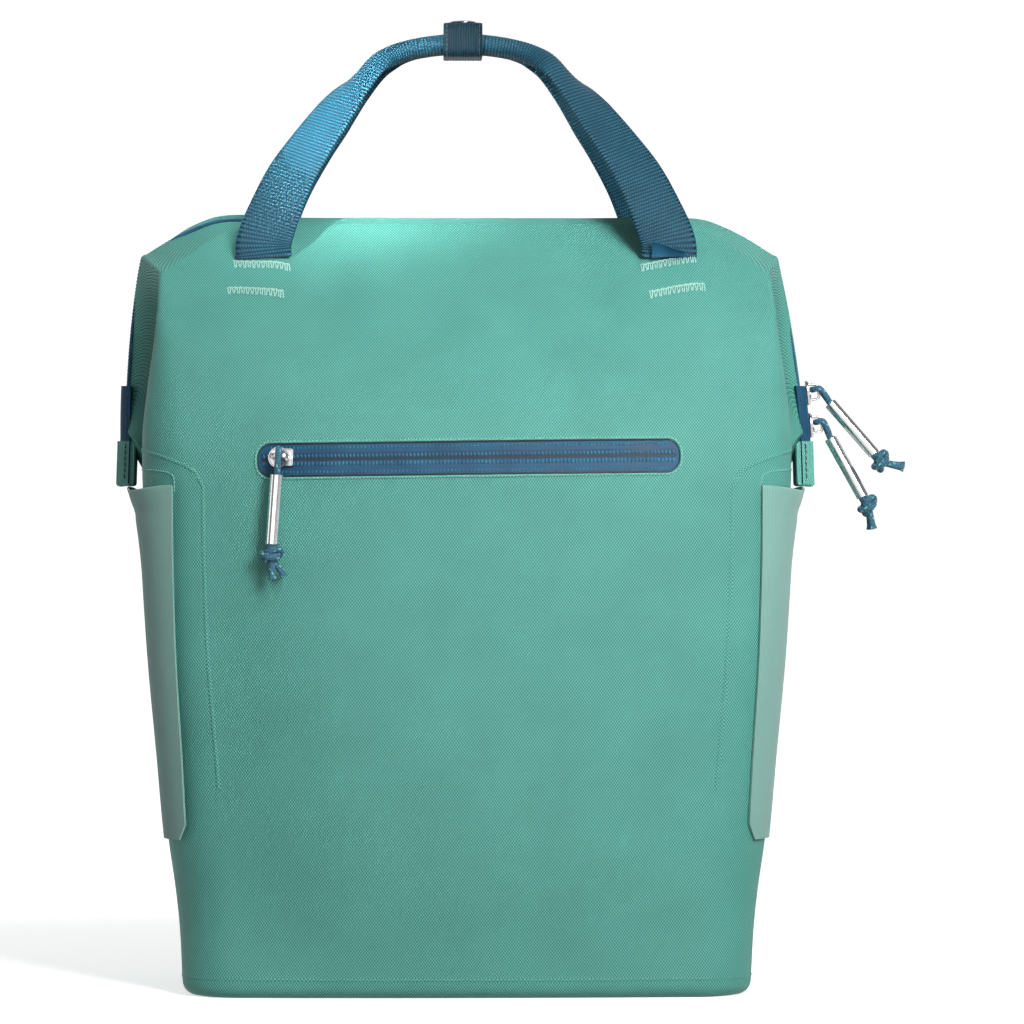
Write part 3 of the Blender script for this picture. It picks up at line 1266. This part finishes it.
def keeper():
    """Webbing wrapped round both grips, doubled on top where the snap closes it."""
    build = Build()
    half_y, half_z = GRIP_PLANE + GRIP_RADIUS + GAP, GRIP_HEIGHT / 2 + GAP
    bottom = GRIP_MIDDLE - half_z - KEEPER_THICKNESS
    wide, tall = 2 * (half_y + KEEPER_THICKNESS), KEEPER_TOP - bottom
    outer = rounded(wide, tall, half_z * 0.8, 8) + [0, (KEEPER_TOP + bottom) / 2]
    inner = rounded(2 * half_y, 2 * half_z, half_z * 0.9, 8) + [0, GRIP_MIDDLE]
    half = KEEPER_WIDTH / 2
    steps = [(-half, inner, 0), (-half + 0.02, inner, 0.45), (-half, outer, -0.55), (-half + 0.55, outer, 0)]
    body = np.linspace(-half + 0.55, half - 0.55, 22)[1:-1]
    steps += [(x, outer, 0.1 * math.cos(2 * math.pi * x / 1.5)) for x in body]
    steps += [(half - 0.55, outer, 0), (half, outer, -0.55), (half - 0.02, inner, 0.45), (half, inner, 0)]
    rows = []
    middle = np.array([0, GRIP_MIDDLE])
    for x, outline, grow in steps:
        ring = outline + unit(outline - middle) * grow
        rows.append(stack(GRIP_SHIFT + x, ring[:, 0], ring[:, 1]))
    rows.append(rows[0])
    build.grid(np.array(rows), closed=True, u=girth_of(outer),
               v=distances(np.array(rows)[:, 0]), flip=True)
    for x in (-half + 1.6, half - 1.6):
        loop = closed_up(outer)
        ring = stack(GRIP_SHIFT + x, loop[:, 0], loop[:, 1])
        out = unit(ring - [GRIP_SHIFT + x, 0, GRIP_MIDDLE])
        dashes(build, ring, out, *KEEPER_STITCH, 1)
    return settle(build.make("loop_keeper_webbing", KEEPER_WEB, DARK_THREAD), "webbing", "loop_keeper")


def lathe(build, profile, middle, axis, sides):
    """A turned shape: profile rows are radius and height along the axis."""
    axis = unit(np.array(axis, float))
    a = np.cross(axis, [1.0, 0, 0]) if abs(axis[0]) < 0.9 else np.cross(axis, [0, 1.0, 0])
    a = unit(a)
    b = np.cross(axis, a)
    t = full_turn(sides)
    ring = a * np.cos(t)[:, None] + b * np.sin(t)[:, None]
    rows = [np.array(middle) + axis * h + ring * r for r, h in profile]
    rows = np.array(rows)
    build.grid(rows, closed=True, caps=True, u=np.linspace(0, 20, sides + 1), v=distances(rows[:, 0]))


def snap_cap():
    build = Build()
    r, h = SNAP_DIAMETER / 2, SNAP_HEIGHT
    profile = [(r * 0.9, 0), (r * 0.97, 0.05), (r, h * 0.25), (r * 0.985, h * 0.5), (r * 0.93, h * 0.72),
               (r * 0.85, h * 0.84), (r * 0.7, h * 0.93), (r * 0.45, h * 0.98), (r * 0.15, h)]
    lathe(build, profile, (GRIP_SHIFT, 0, KEEPER_TOP + GAP), (0, 0, 1), 48)
    return settle(build.make("keeper_snap_cap", STEEL), "metal", "keeper_snap")


FLAG_WIDTH, FLAG_HEIGHT, FLAG_THICKNESS = 17.0, 8.5, 0.8
FLAG_LEAN = math.radians(28)


def flag_label():
    """A small folded label that stands off the front loop's right end."""
    build = Build()
    proud = WEB_WIDTH / 2 * math.sin(math.radians(6)) + WEB_THICKNESS / 2 + GAP
    base = np.array([LOOP_SPAN / 2 * 0.993, LOOP_FOOT_Y - proud, LOOP_FOOT])
    rows = []
    for v in np.linspace(0, 1, 9):
        lean = FLAG_LEAN * (0.35 + 0.8 * v)
        out = np.array([0, -math.cos(lean), -math.sin(lean)])
        row = []
        for u in np.linspace(-0.5, 0.5, 13):
            rise = v * FLAG_HEIGHT * lerp(1.12, 0.42, u + 0.5)
            up = rise * math.cos(lean) + 1.2 * (u + 0.5) * (1 - v)
            place = base + [u * FLAG_WIDTH, -rise * math.sin(lean), up]
            row.append(place + out * (0.5 * math.sin(2.2 * math.pi * u) * v))
        rows.append(row)
    rows = np.array(rows)
    thick = np.array([0, -FLAG_THICKNESS, 0])
    fold = [lerp(rows[-1], rows[-1] + thick, share) + [0, 0, 0.3] for share in (0.2, 0.8)]
    ring = np.concatenate([rows, fold, (rows + thick)[::-1]])
    build.grid(ring, u=np.linspace(0, FLAG_WIDTH, 13), v=distances(ring[:, 0]))
    for edge, flip in ((0, True), (-1, False)):
        pair = np.stack([rows[:, edge], (rows + thick)[:, edge]], 1)
        build.grid(pair, flip=flip)
    build.grid(np.stack([rows[0], (rows + thick)[0]], 1))
    return settle(build.make("flag_label_tape", LABEL_TAPE), "zip", "flag_label")


# Stitch rows below the front and back loops' ends

STITCH_PITCH = 1.15
STITCH_LENGTH = 3.6


def bar_tack(build, x0, z0, x1, z1, side_y):
    """A close row of slanted stitches on the panel, over a laid thread along its top."""
    count = int(math.hypot(x1 - x0, z1 - z0) / STITCH_PITCH)
    for i in range(count + 1):
        share = i / count
        x, z = lerp(x0, x1, share), lerp(z0, z1, share)
        lean = 0.55 * (1 if i % 2 else -1) + 0.25 * math.sin(i * 2.4)
        v = np.linspace(-0.5, 0.5, 7)
        px, pz = x + lean * v, z + STITCH_LENGTH * v * (1 + 0.14 * math.sin(i * 1.7))
        p, n = on_panel(px, pz, 0.0, side_y)
        arch = np.cos(math.pi * v)[:, None]
        tube(build, p + n * (0.6 * arch - 0.15), 0.33, 6)
    share = np.linspace(0, 1, 40)
    waver = 0.25 * np.sin(share * 60)
    p, n = on_panel(lerp(x0, x1, share), lerp(z0, z1, share) + STITCH_LENGTH * 0.4 + waver, 0.25, side_y)
    tube(build, p, 0.42, 6)


def stitches():
    build = Build()
    for side in (-1, 1):
        x = side * LOOP_SPAN / 2
        for drop, shift in ((3.2, 0.3), (17.5, side * 3.4)):
            tilt = side * 2.6
            for side_y in (1, -1):
                middle = x + shift if side_y > 0 else x + BACK_SHIFT
                z = LOOP_FOOT - drop
                bar_tack(build, middle - WEB_WIDTH / 2, z - tilt, middle + WEB_WIDTH / 2, z + tilt, side_y)
    return settle(build.make("loop_stitches", PALE_THREAD), "fabric")


# Zip sliders and pulls

SLIDER_LENGTH, SLIDER_WIDTH, SLIDER_PLATE = 13.0, 11.0, 1.4
BAIL_BAR, BAIL_WIDTH, BAIL_SPAN, BAIL_BEND = 1.3, 2.4, 6.4, 1.6
CORD = 3.2
CORD_ROUND = 9.6  # distance round a cord in its braid's pattern
KNOT_TILT = 0.42
BARREL, BORE, BARREL_LENGTH, BARREL_DROP = 6.8, 5.8, 35.0, 9.0
KNOT = 4.0
TAIL = 10.0
FRONT_LEAN = math.radians(4)
UPPER_FALL, LOWER_FALL = math.radians(49), math.radians(61)
SLIDER_SPACING = 3.7
LOOP_RADIUS = max(BAIL_BAR, BAIL_WIDTH) / 2 + GAP + CORD / 2
BAR_HEIGHT = SLIDER_PLATE + GAP + CORD / 2 + LOOP_RADIUS
BARREL_FOOT = -BARREL_DROP - BARREL_LENGTH - 2 * GAP
FRONT_COIL = 0.5


def slider_outline():
    """Half outline of the slider's plate: a round nose that narrows to a square tail."""
    l, w = SLIDER_LENGTH / 2, SLIDER_WIDTH / 2
    nose = [(-l + w - w * math.cos(a), w * math.sin(a)) for a in np.linspace(0, math.pi / 2, 9)]
    tail = [(-0.1, 1), (0.12, 0.9), (0.3, 0.81), (0.88, 0.8), (0.97, 0.76), (1, 0.66)]
    upper = np.array(nose + [(l * x, w * y) for x, y in tail])
    lower = (upper * [1, -1])[::-1]
    return np.vstack([upper, lower[:-1]])


def place_local(seat, p):
    origin, basis = seat
    return origin + np.asarray(p, float) @ basis


def slider(seat, name):
    """Plate with a raised rim, bail and rivet. The seat's rows are along the zip, across it and away from it."""
    build = Build()
    outline = slider_outline()
    steps = [(0.94, 0), (1, 0.25), (1, SLIDER_PLATE * 0.75), (0.97, SLIDER_PLATE), (0.9, SLIDER_PLATE),
             (0.86, SLIDER_PLATE * 0.72)]
    rows = [np.column_stack([outline * grow, np.full(len(outline), h)]) for grow, h in steps]
    build.grid(place_local(seat, rows), closed=True, caps=True, flip=True)
    half = BAIL_SPAN / 2 + BAIL_BAR / 2
    a = np.linspace(0, math.pi / 2, 6)
    arch = [(-half - 0.3, 0, SLIDER_PLATE * 0.5)]
    arch += [(-half + BAIL_BEND * (1 - math.cos(t)), 0, BAR_HEIGHT - BAIL_BEND * (1 - math.sin(t))) for t in a]
    arch += [(-x, 0, z) for x, _, z in arch[::-1]]
    path = through(arch, 34)
    flat = rounded(BAIL_WIDTH, BAIL_BAR, 0.5, 3)
    way = heading(path)
    out = np.cross(way, [0, 1.0, 0])
    ring = path[:, None] + out[:, None] * flat[None, :, 1:2] + np.array([0, 1.0, 0]) * flat[None, :, 0:1]
    build.grid(place_local(seat, ring), closed=True, caps=True)
    for x, radius, height in ((SLIDER_LENGTH * 0.2, 1.9, 1.5), (-SLIDER_LENGTH * 0.3, 1.2, 0.7)):
        dome = [(radius * r, height * h) for r, h in ((1, 0), (0.98, 0.4), (0.75, 0.8), (0.35, 1))]
        lathe(build, dome, place_local(seat, (x, 0, SLIDER_PLATE * 0.7)), seat[1][2], 18)
    return settle(build.make(f"{name}_slider_metal", CAST), "metal", f"{name}_slider")


def pull_frame(seat, along, direction):
    """Origin at the bail's bar, with rows: sideways, up the pull, and the face turned to the front."""
    up = -unit(np.array(direction, float))
    across = unit(np.cross(up, [0, -1.0, 0]))
    return place_local(seat, (along, 0, BAR_HEIGHT)), np.stack([across, up, np.cross(across, up)])


def pull_cord(pull, lean, name, splay):
    """A doubled cord: over the bail's bar, through the barrel, into a knot, and out in two tails."""
    build = Build()
    away = np.array([math.sin(lean), -math.cos(lean), 0])

    def at(reach, side, drop):
        return away * (reach * LOOP_RADIUS) + [0, -drop, side]

    inside = (BORE - CORD) / 2 - GAP
    strands = []
    for side in (1, -1):
        strands.append([at(0, side * inside, BARREL_DROP + 3), at(0, side * inside, BARREL_DROP),
                        at(0.2, side * LOOP_RADIUS * 0.8, BARREL_DROP * 0.5),
                        at(0.2, side * LOOP_RADIUS * 0.98, 0), at(-0.72, side * LOOP_RADIUS * 0.72, 0)])
    turn = strands[0] + [at(-1.02, 0, 0)] + strands[1][::-1]
    tube(build, place_local(pull, through(turn, 46)), CORD / 2, 14, around=CORD_ROUND)
    knot_y = BARREL_FOOT - GAP - KNOT * 1.2
    core = [(0, 1 - BARREL_DROP - 4, 0), (0, BARREL_FOOT, 0), (0, knot_y, 0)]
    tube(build, place_local(pull, through(core, 12)), BORE / 2 - GAP, 12, around=CORD_ROUND)
    t = full_turn(90)
    big, small = KNOT * 0.98, CORD * 0.36
    wraps = np.stack([
        (big + small * np.cos(3 * t)) * np.cos(2 * t),
        small * 1.75 * np.sin(3 * t),
        (big + small * np.cos(3 * t)) * np.sin(2 * t) * 0.92,
    ], -1)
    cos, sin = math.cos(KNOT_TILT), math.sin(KNOT_TILT)
    x, y, z = wraps.T
    wraps = np.stack([x * cos - y * sin, x * sin + y * cos, z], -1) + [0, knot_y, 0]
    tube(build, place_local(pull, closed_up(wraps)), CORD / 2 * 0.98, 12, around=CORD_ROUND)
    ball = [(KNOT * r, KNOT * h) for r, h in ((0.5, -0.85), (0.85, -0.4), (0.85, 0.4), (0.5, 0.85))]
    lathe(build, ball, place_local(pull, (0, knot_y, 0)), pull[1][1], 16)
    for angle, twist in splay:
        side = math.sin(angle)
        down = math.cos(angle)
        start = np.array([side * 1.2, knot_y - KNOT * 0.5, twist])
        route = [start, start + [side * 3.4, -down * 3.4, 0], start + [side * 7, -down * 7, 0],
                 start + [side * (TAIL + 0.5), -down * (TAIL + 0.5), twist * 0.3]]
        path = through(route, 16)
        fray = np.concatenate([np.full(12, 1.0), [1.02, 1.1, 1.22, 1.3]])
        tube(build, place_local(pull, path), CORD / 2 * fray, 12, around=CORD_ROUND)
    return settle(build.make(f"{name}_pull_cord_braid", CORD_BRAID), "cord", f"{name}_pull_cord")


def barrel(pull, name):
    """A polished tube with rolled rims."""
    build = Build()
    foot = BARREL_FOOT
    outer, inner = BARREL / 2, BORE / 2
    top = foot + BARREL_LENGTH
    profile = [(inner, foot + 0.3), (inner + 0.12, foot + 0.05), (outer - 0.22, foot), (outer, foot + 0.22)]
    profile += [(outer, foot + 1.2 + (BARREL_LENGTH - 2.4) * s) for s in (0, 0.25, 0.5, 0.75, 1)]
    profile += [(outer, top - 0.22), (outer - 0.22, top), (inner + 0.12, top - 0.05), (inner, top - 0.3)]
    profile += profile[:1]
    origin, (a, axis, b) = pull
    t = full_turn(40)
    ring = a * np.cos(t)[:, None] + b * np.sin(t)[:, None]
    rows = np.array([origin + axis * h + ring * r for r, h in profile])
    build.grid(rows, closed=True, u=np.linspace(0, 20, 41), v=distances(rows[:, 0]))
    return settle(build.make(f"{name}_pull_barrel_tube", STEEL), "metal", f"{name}_pull_barrel")


def front_seat():
    half = SLIDER_LENGTH / 2
    middle = -FRONT_ZIP_LENGTH / 2 + SLIDER_LENGTH * 0.9
    face = FRONT_ZIP_FACE + FRONT_COIL + GAP
    p, n = on_panel(np.array([middle - half, middle, middle + half]) + FRONT_ZIP_X, np.full(3, FRONT_ZIP_Z), face)
    along = unit(p[2] - p[0])
    out = unit(n[1] - along * (n[1] @ along))
    return (p[0] + p[2]) / 2, np.stack([along, np.cross(out, along), out])


def side_seat(z):
    a, b = end_path(1, z + SLIDER_LENGTH / 2, z - SLIDER_LENGTH / 2, 2)
    along = unit(b - a)
    out = np.array([-along[2], 0, along[0]])
    return (a + b) / 2 + out * (STRIP_LIFT + 2 * GAP), np.stack([along, np.cross(out, along), out])


def add_pull(name, seat, along, direction, lean, splay):
    slider(seat, name)
    pull = pull_frame(seat, along, direction)
    pull_cord(pull, lean, name, splay)
    barrel(pull, name)


def add_pulls():
    seat = front_seat()
    down = [-math.sin(FRONT_LEAN), -0.02, -math.cos(FRONT_LEAN)]
    add_pull("front_zip", seat, 0, down, 0, [(math.radians(8), 1.3), (math.radians(38), -1.3)])
    shift = -(BAIL_SPAN - CORD) / 2 + GAP
    lower = MOUTH_FOOT[1] + GAP + SLIDER_LENGTH / 2
    for name, z, fall, splay in (
        ("lower_side_zip", lower, LOWER_FALL, [(-0.3, 1.2), (-0.42, -1.2)]),
        ("upper_side_zip", lower + SLIDER_LENGTH + SLIDER_SPACING, UPPER_FALL, [(0.6, 1.2), (0.75, -1.2)]),
    ):
        seat = side_seat(z)
        way = np.array([math.cos(fall), 0, -math.sin(fall)])
        lean = math.atan2(way @ seat[1][0], way @ seat[1][2])
        add_pull(name, seat, shift, way, lean, splay)


# Shoulder straps

STRAP_WIDTH, STRAP_THICKNESS, STRAP_CLEARANCE = 58.0, 9.0, 1.0
STRAP_TOP, STRAP_FOOT_Z = 338.0, 118.0
STRAP_TOP_SPACING, STRAP_FOOT_SPACING = 92.0, 196.0
STRAP_ARCH = 34.0
PAD_SEAM, PATCH_SEAM = 0.82, 0.93  # shares of the half width at which a pad and a patch are sewn
PATCH_ROUND = 3.0
LOWER_WEB = 1.6
PADS = {
    "at": [0, 0.08, 0.2, 0.35, 0.5, 0.65, 0.8, 0.92, 1],
    "bow": [0, 0.3, 0.68, 0.94, 1, 0.95, 0.82, 0.69, 0.6],
    "spread": [0, 0, 0.03, 0.12, 0.3, 0.55, 0.8, 0.95, 1],
    "width": [0.8, 0.9, 1, 1, 1, 1, 0.94, 0.8, 0.5],
}


def back_face(z):
    depth = np.where(z <= SPRING, wall_depth(z), lean_depth(z))
    return depth + bow(0.4, z)


def strap_line(drop):
    z = lerp(STRAP_TOP, STRAP_FOOT_Z, drop)
    y = back_face(z) + STRAP_CLEARANCE + STRAP_THICKNESS / 2 + STRAP_ARCH * look_up(PADS, "bow", drop)
    x = lerp(STRAP_TOP_SPACING, STRAP_FOOT_SPACING, look_up(PADS, "spread", drop)) / 2
    return stack(x, y, z)


def shoulder_strap(side, word):
    """A padded strap: two crowned faces, a bound edge, and a sewn line inside it."""
    build = Build()
    drop = np.linspace(0, 1, 90)
    path = strap_line(drop)
    along = heading(path)
    across = unit(np.array([1.0, 0, 0]) - along * along[:, :1])
    out = np.cross(across, along)
    width = STRAP_WIDTH * look_up(PADS, "width", drop)
    u = np.linspace(-1, 1, 25)
    pad = STRAP_THICKNESS / 2 * (1 - 0.72 * smooth(0.78, 0.86, np.abs(u))) * (1 - 0.12 * u**2)
    pad = pad + 0.12 * STRAP_THICKNESS * hump(np.abs(u), 0.96, 0.06)
    ring_u = np.concatenate([u, u[::-1]])
    ring_v = np.concatenate([pad, -pad[::-1]])
    rows = path[:, None] + across[:, None] * (width[:, None, None] / 2 * ring_u[None, :, None])
    taper = smooth(0, 0.05, drop) * smooth(1, 0.95, drop) * 0.65 + 0.35
    rows = rows + out[:, None] * (ring_v[None, :, None] * taper[:, None, None])
    rows = rows * np.array([side, 1, 1])
    flat = u * STRAP_WIDTH / 2
    wide = np.concatenate([flat, flat[-1:], flat[::-1][1:], flat[:1]])
    build.grid(rows, closed=True, u=wide, v=distances(path), caps=True, flip=side > 0)
    for edge in (-PAD_SEAM, PAD_SEAM):
        line = path + across * (width[:, None] / 2 * edge) + out * (STRAP_THICKNESS * 0.22 * taper[:, None])
        dashes(build, line[4:-4] * [side, 1, 1], out[4:-4] * [side, 1, 1], *PAD_STITCH, 1)
    made = build.make(f"shoulder_strap_{word}_pad", BODY_CLOTH, DARK_THREAD, sharp=60)
    return settle(made, "fabric", f"shoulder_strap_{word}")


def flat_strap(build, path, width, thickness):
    """Ribbed webbing along a path that stays upright across X."""
    length = distances(path)
    count = max(int(length[-1] / RIB) * 5, 12)
    spread = np.linspace(0, length[-1], count)
    path = sampled(path, length, spread)
    along = heading(path)
    out = np.cross([1.0, 0, 0], along)
    outline = rounded(width, thickness, thickness * EDGE_ROUND, 2)
    ripple = 0.2 * np.cos(2 * math.pi * spread / RIB)
    proud = np.sign(outline[:, 1]) * (np.abs(outline[:, 0]) < width * 0.48)
    ring = path[:, None] + np.array([1.0, 0, 0]) * outline[None, :, 0:1]
    ring = ring + out[:, None] * (outline[None, :, 1:2] + (proud[None] * ripple[:, None])[..., None] * 0.5)
    build.grid(ring, closed=True, u=girth_of(outline), v=spread, caps=True)


def strap_fittings(word):
    """Ladder buckle, lower webbing and anchor patch, where the frame has them."""
    low, high = box_mm(f"strap_buckle_{word}")
    middle = (low + high) / 2
    wide, thick = high[0] - low[0], high[1] - low[1]
    build = Build()
    rail = thick * 0.42

    def bar(a, b, radius):
        tube(build, through([a, lerp(np.array(a), np.array(b), 0.5), b], 10), radius, 10)

    for x in (-1, 1):
        edge = middle[0] + x * (wide / 2 - rail)
        path = through([(edge, middle[1], low[2] + rail), (edge + x * 0.2, middle[1] + 0.3, middle[2]),
                        (edge, middle[1], high[2] - rail)], 12)
        tube(build, path, rail, 12)
    for z, lift in ((low[2] + rail, 0.4), (middle[2] - 2, -0.5), (middle[2] + 4, 0.5), (high[2] - rail, 0)):
        reach, y = wide / 2 - rail, middle[1] + lift
        bar((middle[0] - reach, y, z), (middle[0] + reach, y, z), rail * 0.9)
    settle(build.make(f"strap_buckle_{word}_ladder", NYLON), "plastic", f"strap_buckle_{word}")

    build = Build()
    low_w, high_w = box_mm(f"strap_webbing_{word}")
    x = (low_w[0] + high_w[0]) / 2
    top_y, foot_y = float(strap_line(np.array(1.0))[1]), low_w[1] + LOWER_WEB / 2
    drop = high_w[2] - low_w[2]
    path = through([(x, top_y, high_w[2]), (x, lerp(top_y, foot_y, 0.25), high_w[2] - drop * 0.35),
                    (x, lerp(top_y, foot_y, 0.75), high_w[2] - drop * 0.66), (x, foot_y, low_w[2] + 12),
                    (x, foot_y, low_w[2])], 40)
    flat_strap(build, path, high_w[0] - low_w[0], LOWER_WEB)
    settle(build.make(f"strap_webbing_{word}_web", LOOP_WEB, sharp=70), "webbing", f"strap_webbing_{word}")

    build = Build()
    low_a, high_a = box_mm(f"strap_anchor_{word}")
    size, centre = high_a - low_a, (low_a + high_a) / 2
    outline = rounded(size[0], size[2], PATCH_ROUND, 5)
    rows = []
    top = high_a[1]
    for grow, y in ((1, low_a[1]), (1, top - 0.4), (0.97, top), (0.9, top), (0.86, top - 0.3)):
        rows.append(stack(centre[0] + outline[:, 0] * grow, y, centre[2] + outline[:, 1] * grow))
    build.grid(np.array(rows), closed=True, caps=True, flip=True, u=girth_of(outline))
    loop = closed_up(outline) * PATCH_SEAM
    line = stack(centre[0] + loop[:, 0], high_a[1], centre[2] + loop[:, 1])
    dashes(build, line, np.broadcast_to([0, 1.0, 0], line.shape), *PATCH_STITCH, 1)
    made = build.make(f"strap_anchor_{word}_patch", BODY_CLOTH, DARK_THREAD)
    settle(made, "fabric", f"strap_anchor_{word}")


# Everything in its place


def floor_paper():
    """Matt white paper that glows by itself, more and more towards the back."""
    made = Finish("floor_paper", roughness=0.9)
    made.colour((0.9, 0.9, 0.9, 1))
    place = made.node("TexCoord").outputs["Object"]
    back = made.node("SeparateXYZ", {0: place}).outputs[1]
    made.put(made.shader.inputs["Emission Color"], (1, 1, 1, 1))
    made.put(made.shader.inputs["Emission Strength"], made.range(back, -0.2, 1.6, 0.6, 0.85))
    return made.material


def add_floor():
    """A pale floor that runs back and rises behind the bag."""
    build = Build()
    start = WALL_PLACE - WALL_BEND
    turn = np.linspace(0, math.pi / 2, 14)[1:]
    line = [(FLOOR_FRONT, 0.0), (start, 0.0)]
    line += [(start + WALL_BEND * math.sin(t), WALL_BEND - WALL_BEND * math.cos(t)) for t in turn]
    line += [(WALL_PLACE, WALL_RISE)]
    rows = [[(x, y, z) for x in (-FLOOR_HALF, 0.0, FLOOR_HALF)] for y, z in line]
    build.grid(np.array(rows), flip=True)
    floor = build.make("floor", floor_paper())
    floor.visible_diffuse = False


add_camera()
add_lights()
add_floor()
body_shell()
mouth_zip()
for side, word in ((1, "right"), (-1, "left")):
    end_strip(side, word)
    end_tab(side, word)
    side_pocket(side, word)
    shoulder_strap(side, word)
    strap_fittings(word)
front_zip()
carry_loop(0.0, 1.0, "front")
carry_loop(BACK_SHIFT, -1.0, "back")
keeper()
snap_cap()
flag_label()
stitches()
add_pulls()
